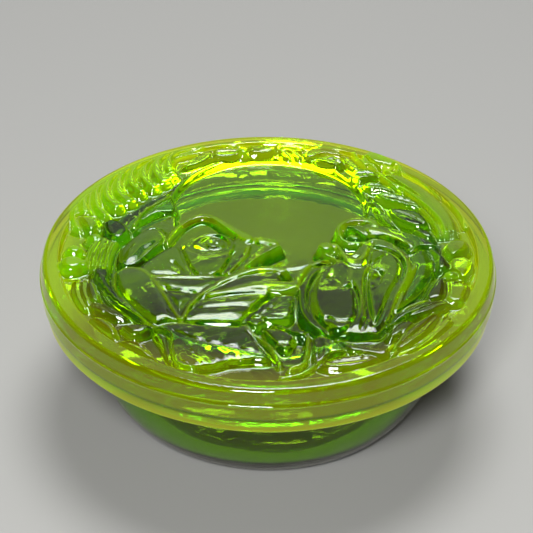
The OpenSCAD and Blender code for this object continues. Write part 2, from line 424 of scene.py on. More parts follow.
def mesh_object(name, points, faces, material, body, node, lips=()):
    """A smooth closed mesh with its material that stands for a CAD node and rides on its body.
    lips says how much of a rolled lip each of the first points is."""
    mesh = bpy.data.meshes.new(name)
    mesh.from_pydata([tuple(p) for p in points], [], faces)
    mesh.validate()
    # the lip value places the painted highlight of the glass material
    lip = mesh.attributes.new("lip", "FLOAT", "POINT")
    lip.data.foreach_set("value", [*lips, *[0.0] * (len(points) - len(lips))])
    mesh.polygons.foreach_set("use_smooth", [True] * len(mesh.polygons))
    mesh.materials.append(material)
    piece = bpy.data.objects.new(name, mesh)
    bpy.context.scene.collection.objects.link(piece)
    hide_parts(node)
    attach(piece, body)
    return piece


def ring_faces(first, second, count):
    """Quads between two rings of the same number of points, given by their first indices."""
    return [
        (first + k, first + (k + 1) % count, second + (k + 1) % count, second + k)
        for k in range(count)
    ]


def spun_ring(radius, height, count, ripple):
    """One ring of points, with the soft waviness that pressing leaves in a surface."""
    ring = []
    for k in range(count):
        a = 2 * math.pi * k / count
        wave = math.sin(5 * a + height * 310) + 0.6 * math.sin(11 * a - height * 470 + 1.3)
        r = radius + ripple * wave
        ring.append((r * math.cos(a), r * math.sin(a), height))
    return ring


# ---- the bowl ------------------------------------------------------------------------------


def bowl_section(sizes):
    """Half section of the bowl as (radius, height), from the middle of the base, round the
    outside, over the flange, and down inside to the middle of the floor."""
    seat = SEAT - AIR
    edge, cove, lip = 0.7 * MM, 3 * MM, 0.9 * MM
    gap = 3  # degrees of the wall's round that the base's edge takes up
    arc_x = sizes.wall_r - sizes.wall_round
    arc_z = math.sqrt(sizes.wall_round**2 - (sizes.base_r - arc_x) ** 2)
    low = math.degrees(math.asin(arc_z / sizes.wall_round))
    flange_z = SEAT - sizes.flange_t
    inner_r = sizes.wall_round - sizes.wall_t
    mouth_r = sizes.wall_r - sizes.wall_t
    floor_low = math.degrees(math.asin((arc_z - sizes.floor_t) / inner_r))
    floor_x = arc_x + inner_r * math.cos(math.radians(floor_low))
    cove_z = flange_z - cove
    return (
        line((0.0, 0.0), (sizes.base_r - edge, 0.0), 10)[1:]
        + arc((sizes.base_r - edge, edge), edge, -90, -low, 5)
        + arc((arc_x, arc_z), sizes.wall_round, gap - low, 0, 22)
        + line((sizes.wall_r, arc_z), (sizes.wall_r, cove_z), 5)[1:]
        + arc((sizes.wall_r + cove, cove_z), cove, 180, 90, 8)
        + line((sizes.wall_r + cove, flange_z), (FLANGE_R - edge, flange_z), 6)[1:]
        + arc((FLANGE_R - edge, flange_z + edge), edge, -90, 0, 5)
        + line((FLANGE_R, flange_z + edge), (FLANGE_R, seat - edge), 4)[1:]
        + arc((FLANGE_R - edge, seat - edge), edge, 0, 90, 5)
        + line((FLANGE_R - edge, seat), (mouth_r + lip, seat), 8)[1:]
        + arc((mouth_r + lip, seat - lip), lip, 90, 180, 5)
        + line((mouth_r, seat - lip), (mouth_r, arc_z), 8)[1:]
        + arc((arc_x, arc_z), inner_r, 0, -floor_low, 18)
        + line((floor_x, sizes.floor_t), (0.0, sizes.floor_t), 12)[1:]
    )


def turned(section, count, ripple):
    """Points and faces of a closed shape turned from a half section, with a point at each end."""
    still_r = 10 * MM  # nearer to the middle than this there is no ripple
    points = [(0.0, 0.0, section[0][1])]
    faces = []
    for radius, height in section:
        points += spun_ring(radius, height, count, ripple if radius > still_r else 0.0)
    for k in range(len(section) - 1):
        faces += ring_faces(1 + k * count, 1 + (k + 1) * count, count)
    points.append((0.0, 0.0, section[-1][1]))
    last = 1 + (len(section) - 1) * count
    faces += [(0, 1 + (k + 1) % count, 1 + k) for k in range(count)]
    faces += [(len(points) - 1, last + k, last + (k + 1) % count) for k in range(count)]
    return points, faces


# ---- carving -------------------------------------------------------------------------------


CREASE_D, CREASE_W = 1.1, 0.9  # depth and width of the crease round a petal
BRIM_IN, BRIM_W = 1.1, 0.6  # how far inside a petal's edge its raised rim lies, and its width
ROOT_D = 0.3  # the sides of a rolled lip end this far below the ground
VEIN_D, VEIN_W = 0.45, 0.5  # depth and width of the groove along the middle of a leaf
DEEPEST = 1.6  # no crease or groove is cut deeper than this
PRESSED_H, PRESSED_SHARE = 2.7, 0.35  # what stands above this height keeps only this share


def smooth_curve(points, closed, steps=6):
    """A smooth curve through given points."""
    p = np.asarray(points, float)
    if closed:
        p = np.vstack([p[-1], p, p[0], p[1]])
    else:
        p = np.vstack([2 * p[0] - p[1], p, 2 * p[-1] - p[-2]])
    out = []
    for a, b, c, d in zip(p[:-3], p[1:-2], p[2:-1], p[3:]):
        for t in np.arange(steps) / steps:
            out.append(0.5 * (2 * b + (c - a) * t + (2 * a - 5 * b + 4 * c - d) * t**2
                              + (3 * b - a - 3 * c + d) * t**3))
    if not closed:
        out.append(p[-2])
    return np.array(out)


class Carving:
    """A surface over the lid, z above the ground at each (x, y), in millimetres, the depth of
    the creases still to be cut into it, and lip, which is 1 on rolled lips and knobs."""

    def __init__(self, x, y):
        self.x, self.y = x, y
        self.z = np.zeros_like(x)
        self.cut = np.zeros_like(x)
        self.lip = np.zeros_like(x)

    def near(self, curve, margin):
        """The points of the surface within a margin of a curve's box."""
        low, high = curve.min(0) - margin, curve.max(0) + margin
        return (self.x > low[0]) & (self.x < high[0]) & (self.y > low[1]) & (self.y < high[1])

    def measure(self, curve, where):
        """Distance to a curve, and how far along the curve the nearest point lies, 0 to 1."""
        x, y = self.x[where], self.y[where]
        best, along = np.full(x.shape, np.inf), np.zeros(x.shape)
        lengths = np.hypot(*np.diff(curve, axis=0).T)
        total, run = max(lengths.sum(), 1e-9), 0.0
        for (ax, ay), (bx, by), length in zip(curve[:-1], curve[1:], lengths):
            if length > 0:
                t = ((x - ax) * (bx - ax) + (y - ay) * (by - ay)) / length**2
                t = np.clip(t, 0, 1)
                d = np.hypot(x - ax - t * (bx - ax), y - ay - t * (by - ay))
                nearer = d < best
                best = np.where(nearer, d, best)
                along = np.where(nearer, (run + t * length) / total, along)
            run += length
        return best, along

    def inside(self, curve, where):
        """Whether each point lies inside a closed curve."""
        x, y = self.x[where], self.y[where]
        odd = np.zeros(x.shape, bool)
        for (ax, ay), (bx, by) in zip(curve, np.roll(curve, -1, axis=0)):
            crosses = (ay > y) != (by > y)
            if ay != by:
                odd ^= crosses & (x < (bx - ax) * (y - ay) / (by - ay) + ax)
        return odd

    def petal(self, outline, rise, dome=0.6, reach=3.0, tilt=(0.0, 0.0), rim=0.0, cup=0.0):
        """Lays a petal over what is there. It stands rise above the ground at its middle, is
        domed up by dome (or cupped down) within reach of its edge, leans by tilt, in height per
        mm, and can have a raised rim. A crease runs round it."""
        curve = smooth_curve(outline, True)
        where = self.near(curve, 1.0)
        closed = np.vstack([curve, curve[:1]])
        d, _ = self.measure(closed, where)
        within = self.inside(curve, where)
        middle = curve.mean(0)
        lean = tilt[0] * (self.x[where] - middle[0]) + tilt[1] * (self.y[where] - middle[1])
        t = np.clip(d / reach, 0, 1)
        z = rise + lean + dome * (1 - (1 - t) ** 2) - cup * t**2
        z += rim * np.exp(-((d - BRIM_IN) / BRIM_W) ** 2)
        self.z[where] = np.where(within, z, self.z[where])
        crease = CREASE_D * np.clip(1 - d / CREASE_W, 0, 1) ** 2
        self.cut[where] = np.where(within, crease, self.cut[where])
        self.lip[where] = np.where(within, 0.0, self.lip[where])

    def roll(self, points, width, top, end=None, lift=0.0):
        """Lays a rolled lip: a rounded ridge along a curve, width wide at its start and end wide
        at its end, with its crest top above the ground, rising by lift along the way."""
        curve = smooth_curve(points, False)
        end = end or width
        where = self.near(curve, max(width, end))
        d, s = self.measure(curve, where)
        half = 0.5 * (width + (end - width) * s)
        t = np.clip(d / half, 0, 1)
        crest = top + lift * s
        z = crest - (crest + ROOT_D) * (1 - np.sqrt(1 - t**2)) ** 1.3
        covers = (t < 1) & (z > self.z[where])
        self.z[where] = np.where(covers, z, self.z[where])
        self.cut[where] = np.where(covers, 0.0, self.cut[where])
        self.lip[where] = np.where(covers, 1.0, self.lip[where])

    def groove(self, points, width, depth):
        """Cuts a soft groove along a curve."""
        curve = smooth_curve(points, False)
        where = self.near(curve, 3 * width)
        d, s = self.measure(curve, where)
        fade = np.clip(np.minimum(s, 1 - s) * 6, 0.25, 1)
        self.cut[where] += depth * fade * np.exp(-((d / width) ** 2))

    def leaf(self, outline, rise, vein, dome=0.5, veins=0.0, spacing=2.2, tilt=(0.0, 0.0)):
        """Lays a leaf: a low petal with a groove along its middle vein and side veins."""
        self.petal(outline, rise, dome, 2.5, tilt, rim=0.12)
        curve = smooth_curve(outline, True)
        spine = smooth_curve(vein, False)
        where = self.near(curve, 0.0)
        within = self.inside(curve, where)
        d, s = self.measure(spine, where)
        length = np.hypot(*np.diff(spine, axis=0).T).sum()
        cut = VEIN_D * np.exp(-((d / VEIN_W) ** 2))
        side = veins * np.sin(2 * np.pi * (s * length - 0.8 * d) / spacing) * np.clip(d, 0, 1)
        self.z[where] += np.where(within, side, 0.0)
        self.cut[where] += np.where(within, cut, 0.0)

    def knob(self, x, y, radius, top):
        """Lays a round knob."""
        d = np.hypot(self.x - x, self.y - y) / radius
        z = top - top * (1 - np.sqrt(np.clip(1 - d**2, 0, 1)))
        covers = (d < 1) & (z > self.z)
        self.z = np.where(covers, z, self.z)
        self.cut = np.where(covers, 0.0, self.cut)
        self.lip = np.where(covers, 1.0, self.lip)

    def settle(self, level, share):
        """Presses what stands above a level down to a share of its height over it, then makes
        the creases and grooves."""
        self.z = np.minimum(self.z, level) + share * np.maximum(self.z - level, 0)
        self.z -= np.minimum(self.cut, DEEPEST)

    def thinned(self):
        """Every second point each way, which the finer carving has made smooth."""
        half = Carving(self.x[::2, ::2], self.y[::2, ::2])
        half.z = self.z[::2, ::2].copy()
        half.lip = self.lip[::2, ::2].copy()
        return half

    def soften(self, passes):
        """Rounds the whole surface a little, as the fire polish does."""
        for _ in range(passes):
            self.z, self.lip = rounded(self.z), rounded(self.lip)


def rounded(grid):
    """Each point of a grid moved towards the mean of its neighbours."""
    p = np.pad(grid, 1, mode="edge")
    sides = p[:-2, 1:-1] + p[2:, 1:-1] + p[1:-1, :-2] + p[1:-1, 2:]
    corners = p[:-2, :-2] + p[:-2, 2:] + p[2:, :-2] + p[2:, 2:]
    return (4 * grid + 2 * sides + corners) / 16


def carve_left_rose(c):
    """The half-open rose on the left, laid from its back petals to its front ones."""
    # bud petal and the leaf behind it, at the rose's left shoulder
    c.leaf([(-36.5, 8), (-34, 12), (-30, 15.5), (-25.5, 17), (-24.3, 12), (-25.5, 7), (-28, 3)],
           1.1, [(-35, 8), (-31, 12), (-26, 16)], dome=0.7, veins=0.12, tilt=(0.02, -0.03))
    c.petal([(-40, -6), (-39.6, -1), (-37, 4), (-33.5, 8.2), (-30, 9.2), (-27.6, 6), (-27.3, 2.5),
             (-30, -2), (-33, -7), (-36, -9), (-39, -8.5)],
            1.2, dome=1.5, reach=5, tilt=(-0.02, 0.06), rim=0.35)
    # back petal: its inner wall
    c.petal([(-27, 2), (-25, 8), (-21.5, 12.5), (-17.5, 14), (-13.5, 12), (-9, 7.5), (-5, 3),
             (-4, -2), (-9, -6), (-17, -8), (-24, -5)],
            1.0, dome=0.2, cup=0.4, reach=4, tilt=(0.0, 0.03))
    # outer right petals, one inside the other
    c.petal([(-9, 6), (-5.5, 3), (-4, -1), (-6, -6), (-10.5, -12.5), (-13, -12), (-10, -5),
             (-9.6, 1)], 1.7, dome=0.5, tilt=(0.05, 0.03), rim=0.4)
    c.petal([(-5, 2.4), (-1, 2.2), (3.4, 0.8), (0.5, -3), (-4.5, -8), (-8.3, -13.4),
             (-11, -13), (-7.5, -7)], 1.7, dome=0.4, tilt=(0.05, 0.03), rim=0.4)
    c.roll([(3.4, 0.4), (-0.5, -3.0), (-4.6, -7.8), (-8.4, -13.2)], 1.5, 3.1, end=0.9)
    c.roll([(-1.2, -0.2), (-3.4, -4.4), (-7.5, -10.4)], 1.6, 3.0, end=0.8)
    c.roll([(-5.2, 0.4), (-6.4, -4.8), (-10.6, -12.4)], 1.5, 3.0, end=0.8)
    # the lip that rolls over towards the medallion, in two lobes
    c.roll([(-26.8, 2), (-24.6, 8), (-21.4, 12.3), (-17.5, 14.4), (-14.2, 12.8)],
           1.9, 3.0, end=3.4, lift=0.5)
    c.roll([(-18, 14.3), (-14.4, 12.8), (-11, 9.2), (-7.6, 5.9), (-4.9, 3.5)],
           2.8, 3.4, end=4.6, lift=0.3)
    c.roll([(-4.4, 3.3), (-1.4, 2.9), (1.8, 1.7)], 4.4, 3.6, end=3.4)
    c.groove([(-4.4, 6.2), (-3.6, 3.6), (-4.2, 0.9)], 0.4, 0.9)
    # the eye of the rose and its swirl
    c.petal([(-23, -0.2), (-20.5, 4), (-17, 6.4), (-13, 6.6), (-10, 4.6), (-8.4, 1), (-9.6, -2.6),
             (-14, -4.6), (-19, -3.6)], 2.6, dome=0.2, cup=0.9, reach=3.2, rim=0.6)
    c.petal([(-20.5, 0), (-18.6, 3.8), (-15.5, 5.2), (-12.6, 4.4), (-10.8, 1.2), (-12, -1.6),
             (-15.5, -2.9), (-19, -1.8)], 2.7, dome=0.9, reach=2.2, tilt=(-0.08, 0.03))
    c.petal([(-17.4, 0.6), (-16, 3.6), (-13.4, 4), (-11.6, 2), (-12.6, -0.8), (-15.4, -1.8)],
            3.0, dome=0.8, reach=1.6, tilt=(0.1, 0.04), rim=0.3)
    c.petal([(-15.2, 1), (-13.8, 3), (-12.4, 1.8), (-13.2, 0.2)], 3.4, dome=0.5, reach=1)
    c.groove([(-17.6, 0.4), (-16.6, 3.4), (-13.6, 4.4), (-11.4, 2.2)], 0.4, 0.6)
    # front inner petal, like the bowl of a wine glass, under a turned lip
    c.petal([(-23, -1), (-19.5, -3.4), (-15, -4.8), (-11, -3.8), (-9.4, -2), (-10, -7),
             (-13, -13), (-19, -13.4), (-21.6, -7.5)],
            2.3, dome=1.0, reach=4, tilt=(0, 0.05), rim=0.35)
    c.roll([(-22, -1.6), (-18.6, -4.0), (-14.6, -4.9), (-10.6, -3.4), (-9.4, -1.6)], 1.2, 3.2)
    # left cheek
    c.petal([(-34, -9.4), (-31.6, -6), (-28.4, -2.4), (-24.6, 0.6), (-23, -2), (-21.4, -7.6),
             (-19.2, -13.4), (-25, -13.8), (-31.4, -14)],
            2.2, dome=1.1, reach=5, tilt=(0.02, 0.07), rim=0.15)
    c.groove([(-26, -7), (-23.6, -10), (-21.4, -13)], 0.8, 0.5)
    # the body of the rose under the level edge
    c.petal([(-31.4, -14), (-25, -14.2), (-18, -14.2), (-11.4, -14), (-13, -17.6), (-17, -22),
             (-20, -28), (-21.4, -33), (-24, -29), (-27, -22), (-29.6, -17)],
            1.9, dome=1.3, reach=6, tilt=(0, 0.04))
    c.roll([(-31.6, -14), (-25, -14), (-18, -13.9), (-11.4, -13.9)], 1.3, 3.2)
    c.groove([(-28, -19.4), (-22, -20.6), (-17.4, -21.4)], 1.3, 0.7)
    # big left petal with its two turned edges
    c.petal([(-40, -12.5), (-38, -10.6), (-35.5, -9.8), (-32.6, -11.2), (-29.6, -15), (-26.6, -21),
             (-23.8, -28), (-21.6, -32.6), (-25, -33.6), (-28.4, -34.8), (-33, -30),
             (-37.4, -23.4), (-39.8, -17.4)],
            1.8, dome=2.1, reach=7, tilt=(0.0, 0.035), cup=0.2)
    c.roll([(-39.4, -13), (-36.6, -10.3), (-33, -10.9), (-29.8, -14.8), (-26.6, -21.2),
            (-23.8, -28), (-21.6, -32.8)], 1.7, 3.3, end=1.0, lift=-0.6)
    c.roll([(-39.8, -13.4), (-39, -19), (-35.6, -26), (-31, -32), (-28.2, -34.8)],
           1.1, 2.7, lift=-0.7)
    # lower right petals: two rolled lips over a wide bright flank
    c.petal([(-21.6, -32.8), (-20, -27), (-16.8, -21.4), (-12.4, -17), (-7, -13.2), (0, -11.4),
             (4.8, -11.4), (4, -14.6), (7.4, -16.6), (7, -19.4), (2, -21.4), (0, -22.6),
             (-3, -27), (-6.6, -32.8), (-14, -33.4)],
            1.7, dome=1.2, reach=5, tilt=(0.0, 0.03))
    c.roll([(-21.4, -32.4), (-19.8, -26.8), (-16.6, -21.2), (-12, -16.8), (-7.6, -14)], 1.3, 3.2)
    c.roll([(-12.4, -16.6), (-8, -13.2), (-3, -10.7), (1, -10.4), (4, -11.3)],
           2.4, 3.4, end=3.8, lift=0.5)
    c.roll([(-14.8, -22.2), (-9.6, -20), (-4, -18), (1.4, -17.6), (6.4, -17.8)],
           2.2, 3.4, end=4.6, lift=0.5)
    c.roll([(1, -19.6), (3.6, -19.8), (6.6, -18.6)], 3.2, 3.4)
    c.groove([(-18, -24.4), (-12, -22.8), (-6, -21.6), (-0.6, -21.2)], 0.7, 0.7)
    c.groove([(-20, -28.6), (-12, -27.2), (-4, -26.4)], 1.0, 0.4)


def carve_right_rose(c):
    """The rose on the right, with its long standing petals."""
    # outer right petal and the broad leaf-like petal behind it
    c.petal([(34, 4), (40, 3.5), (43, -1), (44, -8), (42, -15), (38.5, -22), (33.5, -28),
             (30.5, -33), (32, -24), (35, -17), (37.4, -8)],
            1.3, dome=1.0, reach=4, tilt=(-0.04, 0.02))
    c.roll([(38.6, -7), (37, -13), (34.6, -20), (32.6, -27)], 1.8, 2.4, end=1.0)
    # the long petal that runs right from the curl
    c.petal([(21, 9.8), (27, 11), (33, 10), (38, 7.5), (43, 4.5), (45.6, 0.6), (41, 0.4),
             (37.6, -3), (35, 1), (31, 4), (26, 5)],
            2.0, dome=0.7, reach=3, tilt=(-0.02, 0.06), rim=0.5)
    c.roll([(26.6, 8.2), (30.6, 7.0), (34.4, 4.4), (38, 1.2)], 2.6, 3.9, end=1.6, lift=-0.8)
    c.groove([(25.4, 8.6), (27, 5.6), (31, 4.9), (35, 2.4), (38, -1.4)], 0.5, 0.7)
    # body, laid as one broad form, then its petals
    c.petal([(26, 3.4), (30, 4.2), (34, 1.4), (36.6, -3), (37.3, -8), (36.2, -13.4), (34, -20),
             (31.8, -28), (28.6, -37), (24, -38), (16, -38), (10.4, -36), (7.4, -29), (7.2, -22),
             (8.6, -15), (13, -8), (19, -6)],
            2.0, dome=1.3, reach=6, tilt=(0, 0.03))
    c.roll([(27, 3.2), (31.4, 2.6), (35, -1.6), (36.8, -7.4), (35.6, -14), (32.8, -22),
            (30, -32)], 1.6, 3.4, end=0.9, lift=-0.8)
    c.petal([(26.8, -1), (29.4, -0.6), (32.6, -2.4), (35, -7), (34.4, -13), (31.4, -21),
             (28.4, -31), (26.2, -34), (25.4, -27), (25, -18), (26, -9)],
            2.6, dome=1.0, reach=3.6, tilt=(0.02, 0.04), rim=0.3)
    c.petal([(26.2, -2), (29.6, -1.4), (31.4, -4), (29, -6.6), (27, -9.6), (26, -6)],
            3.2, dome=0.7, reach=2, tilt=(0, 0.05))
    c.groove([(26.6, -17.4), (28, -14), (30.2, -11.4)], 0.9, 0.6)
    c.groove([(26.8, -0.6), (30.2, -0.8), (33, -3), (34.7, -6.2), (35, -10), (33.8, -16)],
             0.5, 1.0)
    c.groove([(25.6, -10), (28.8, -11.6), (29, -15), (27, -18.4), (25.4, -19.6)], 0.5, 0.7)
    # the seam between the two halves of the rose
    c.groove([(26.4, -9.6), (25.4, -14), (25.1, -20), (25, -26), (24.8, -31), (23.6, -35.6)],
             0.6, 1.3)
    c.roll([(26.2, -8.6), (25, -13), (24.1, -19), (23.9, -26), (24.2, -31)], 1.5, 3.6, end=1.0)
    # left half: outer petal, inner petal and the turned edge between them
    c.petal([(15.6, -5.4), (11, -9.4), (8.4, -15), (7.4, -22), (8, -30), (11, -36), (15.6, -37.4),
             (13.2, -33), (11, -28), (10.8, -20), (12.6, -13)],
            2.2, dome=0.8, reach=3, tilt=(-0.02, 0.03), rim=0.3)
    c.petal([(18, -6.6), (20.6, -8.4), (21.9, -11.6), (21, -15.4), (18.6, -18.8), (21.6, -18),
             (23, -24), (22.6, -31), (19, -36.6), (15.4, -36.4), (12.8, -31), (11.4, -24),
             (12.4, -15), (15, -9.6)],
            2.4, dome=1.0, reach=4, tilt=(0, 0.02))
    c.roll([(18.6, -7.2), (21.2, -9.8), (21.6, -13.4), (19.2, -18), (15.4, -22.6)],
           1.3, 3.5, end=0.8, lift=-0.3)
    c.groove([(15.4, -15.4), (17, -12.8)], 0.7, 0.6)
    c.groove([(15.6, -7.4), (13, -12), (11.2, -18), (10.6, -24), (11.6, -30), (14.2, -35.6),
              (15.6, -37.6)], 0.6, 1.2)
    c.groove([(15.4, -6.6), (11.6, -10.8), (9.2, -16), (8, -20.4)], 0.5, 1.0)
    c.groove([(21, -14.6), (22.2, -19), (23, -24.6), (22.2, -29)], 0.5, 0.8)
    c.petal([(14.4, -31.4), (17.8, -33), (21, -32.6), (20, -36), (16.6, -36.6)],
            2.6, dome=0.8, reach=2)
    # rolled lip on the left
    c.roll([(15.8, -5.8), (12.4, -7.4), (9.6, -10.2), (8, -14), (7.2, -18.4)],
           1.6, 3.0, end=3.6, lift=0.2)
    # knob and the wavy lip that joins it to the body
    c.petal([(18.4, -3), (20.6, -4.6), (25, -4), (26.6, 0.5), (28, 3), (26, -8), (22.6, -9.8),
             (19.4, -7.6)], 2.5, dome=0.9, reach=2.4, tilt=(0, 0.05))
    c.roll([(15.2, 0.2), (17.8, 0.8), (19.2, -2), (20.6, -5.2), (22.8, -6.4), (25, -4.8),
            (26.4, -0.6)], 2.4, 3.7, end=2.0)
    c.knob(15.3, 0.0, 2.8, 4.0)
    c.roll([(15, -3), (17.2, -4.4), (18.6, -7.4)], 1.6, 2.8, end=1.2)
    # curl at the top
    c.roll([(19, 4.4), (18.9, 8.3), (20.8, 11.4), (24.2, 12.7), (27.6, 12.0), (28.6, 10.6)],
           2.4, 4.2, end=4.0)
    c.roll([(19, 5.0), (20.2, 2.9), (22.8, 2.0), (25.4, 2.3)], 2.0, 3.6, end=1.1)
    c.petal([(20.4, 4.6), (22.4, 3), (25, 3.2), (24.6, 5.4), (22, 7)], 2.4, dome=0.6, reach=1.6)


def carve_lower_leaves(c):
    """The leaves and stems in front of the roses."""
    c.leaf([(-28.4, -35), (-24, -33.4), (-18, -33.4), (-11, -33.8), (-6, -34), (-3, -38.6),
            (-0.6, -43.4), (1, -48), (-4, -48.6), (-9, -49.2), (-14, -51.4), (-19, -51.8),
            (-23.4, -49), (-26, -42)],
           0.9, [(-23.6, -37), (-17, -41), (-9, -43.5), (0, -47)],
           dome=1.5, veins=0.1, spacing=4.5, tilt=(0, 0.01))
    c.roll([(-27.4, -34.8), (-22.6, -34), (-17, -35), (-12.6, -38)], 2.4, 2.5, end=1.2)
    c.roll([(-23.4, -38), (-23.2, -44), (-21.6, -49.6), (-18, -51.6)], 1.3, 2.4, end=1.6)
    c.roll([(-20.4, -50.8), (-14.6, -50.6), (-9.4, -48.6), (-4, -48)], 1.4, 2.2, end=1.0)
    c.roll([(-12.6, -37.6), (-11.4, -42), (-7.4, -46), (-0.6, -46.8)], 1.0, 2.3)
    c.petal([(-28.6, -36.6), (-26.2, -42.6), (-24.2, -48.6), (-22.6, -50.4), (-23.8, -44),
             (-24.6, -38)], 0.9, dome=0.7, reach=2)
    # the bud between the roses
    c.leaf([(-6.6, -33), (-3, -27.4), (0.2, -22.8), (4.6, -21), (7, -21.4), (7, -27), (6, -31.4),
            (1.4, -33.4)], 1.5, [(-3, -32), (1, -27.6), (4.6, -22.6)], dome=1.2, veins=0.12,
           spacing=3, tilt=(0, 0.03))
    c.petal([(-6.4, -32.4), (-4.4, -31.4), (-2, -31.2), (-0.6, -32.6), (-1.6, -35), (-3.6, -35.6)],
            1.9, dome=0.6, reach=1.5)
    # stems and the small leaves beside them
    c.petal([(-1.4, -35), (2, -34.6), (6, -36.4), (7, -40), (4.4, -43.8), (1.6, -42)],
            1.1, dome=0.8, reach=2)
    c.petal([(0.4, -33.6), (3.6, -33.8), (7, -35.8), (10, -36), (9.4, -39.4), (7, -38.8),
             (4, -36.6)], 1.9, dome=0.7, reach=1.6)
    c.petal([(1.6, -41.6), (5.6, -41.2), (6, -43), (4, -44.4)], 1.6, dome=0.6, reach=1.4)
    c.roll([(-6, -34.2), (-2.2, -39), (1, -43), (3.2, -49.4)], 1.3, 2.5, end=0.9)
    c.roll([(10.2, -38), (9.8, -44), (8.8, -49), (5.4, -51)], 1.3, 2.3)
    c.roll([(12.6, -48), (8.6, -52), (3, -54)], 1.4, 1.5, end=0.8)
    c.leaf([(10.8, -39.6), (12.6, -37.2), (15.6, -38.4), (18.8, -41.6), (20, -44.2),
            (16.4, -45.6), (12.6, -49), (10.8, -47)],
           1.2, [(12.4, -38.4), (13.4, -43), (12.4, -47.6)], dome=0.9, veins=0.1)
    c.leaf([(16.8, -38), (21, -39.8), (26, -41.6), (30, -43), (29, -45.6), (24, -44.8),
            (20, -44.4), (17.6, -41)], 1.2, [(17.4, -38.6), (22, -42), (29, -44.4)], dome=0.8)
    c.leaf([(12.2, -49.6), (16, -46.8), (20.6, -45), (25, -45), (27.8, -46.6), (24.4, -49.6),
            (20, -51.2), (15, -51.2)],
           1.3, [(13, -49.6), (19.6, -48.4), (27, -46.6)], dome=0.8, veins=0.1)


def carve_right_side(c):
    """The spray of leaves at the lower right and the flower above it."""
    c.leaf([(30, -34.6), (32.4, -29.6), (36.4, -26), (42, -22.8), (46.4, -21.6), (45.4, -25.6),
            (41, -28.8), (35, -31)], 1.7, [(31, -33), (37, -28.6), (45, -23.4)], dome=0.9)
    c.roll([(30, -33.8), (33, -28.6), (37.4, -25.2), (42, -22.8), (45.6, -21.6)], 1.2, 3.1)
    c.petal([(29.6, -37.4), (32.6, -32.2), (35.8, -30.8), (38.2, -33.4), (36, -36), (31, -39)],
            1.4, dome=0.9, reach=2.4)
    for k, (x0, y0, bow) in enumerate([(45.8, -29, 2.4), (43, -28.4, 0.4), (46.4, -31.6, 3.4)]):
        low = (29.6 + 1.2 * k, -42.4 - 1.5 * k)
        middle = ((low[0] + x0) / 2 + 0.3 * bow, (low[1] + y0) / 2 - bow)
        c.leaf([low, (middle[0] - 2.2, middle[1] + 1.4), (x0 - 1, y0 + 0.6), (x0 + 0.6, y0 - 1.6),
                (middle[0] + 1.8, middle[1] - 1.8)],
               1.1 + 0.25 * k, [low, middle, (x0, y0)], dome=0.8)
        c.roll([low, (middle[0] - 2.0, middle[1] + 1.2), (x0 - 0.8, y0 + 0.4)], 0.9, 2.2)
    # flower: five broad lobes round a small ring
    c.petal([(46.6, -1), (47, 3), (49.6, 5.6), (53.2, 4.8), (54.2, 1), (52, -2.2), (48.6, -4)],
            1.2, dome=1.3, reach=3, rim=0.2)
    c.petal([(48, -4), (52, -2.8), (54.4, -6), (53.4, -10.6), (50.6, -14), (47.4, -11)],
            1.4, dome=1.2, reach=3, rim=0.2)
    c.petal([(47, -12.4), (52, -14.6), (52.2, -18.6), (50.6, -23), (46.4, -24), (43.6, -19)],
            1.3, dome=1.2, reach=3, rim=0.2)
    c.petal([(46.4, -13), (43.6, -12.6), (41, -18), (39.8, -22.4), (42.6, -23.2), (46, -21)],
            1.5, dome=1.0, reach=2.6)
    c.petal([(46, -1.4), (42.4, 2.8), (42.6, -0.4), (44, -4), (42, -6), (44.6, -10), (48, -8)],
            1.6, dome=1.0, reach=2.4)
    c.knob(47.6, -12, 2.5, 3.2)
    c.groove([(46, -11), (47.6, -9.9), (49.2, -11.6), (48.6, -13.8), (46.6, -14), (45.9, -12)],
             0.45, 0.9)
    c.groove([(49.2, -3.4), (51, -2.4), (53.4, -3.2)], 0.6, 0.7)
    c.groove([(48, -15.6), (50, -14.8), (52.2, -15.8)], 0.6, 0.7)


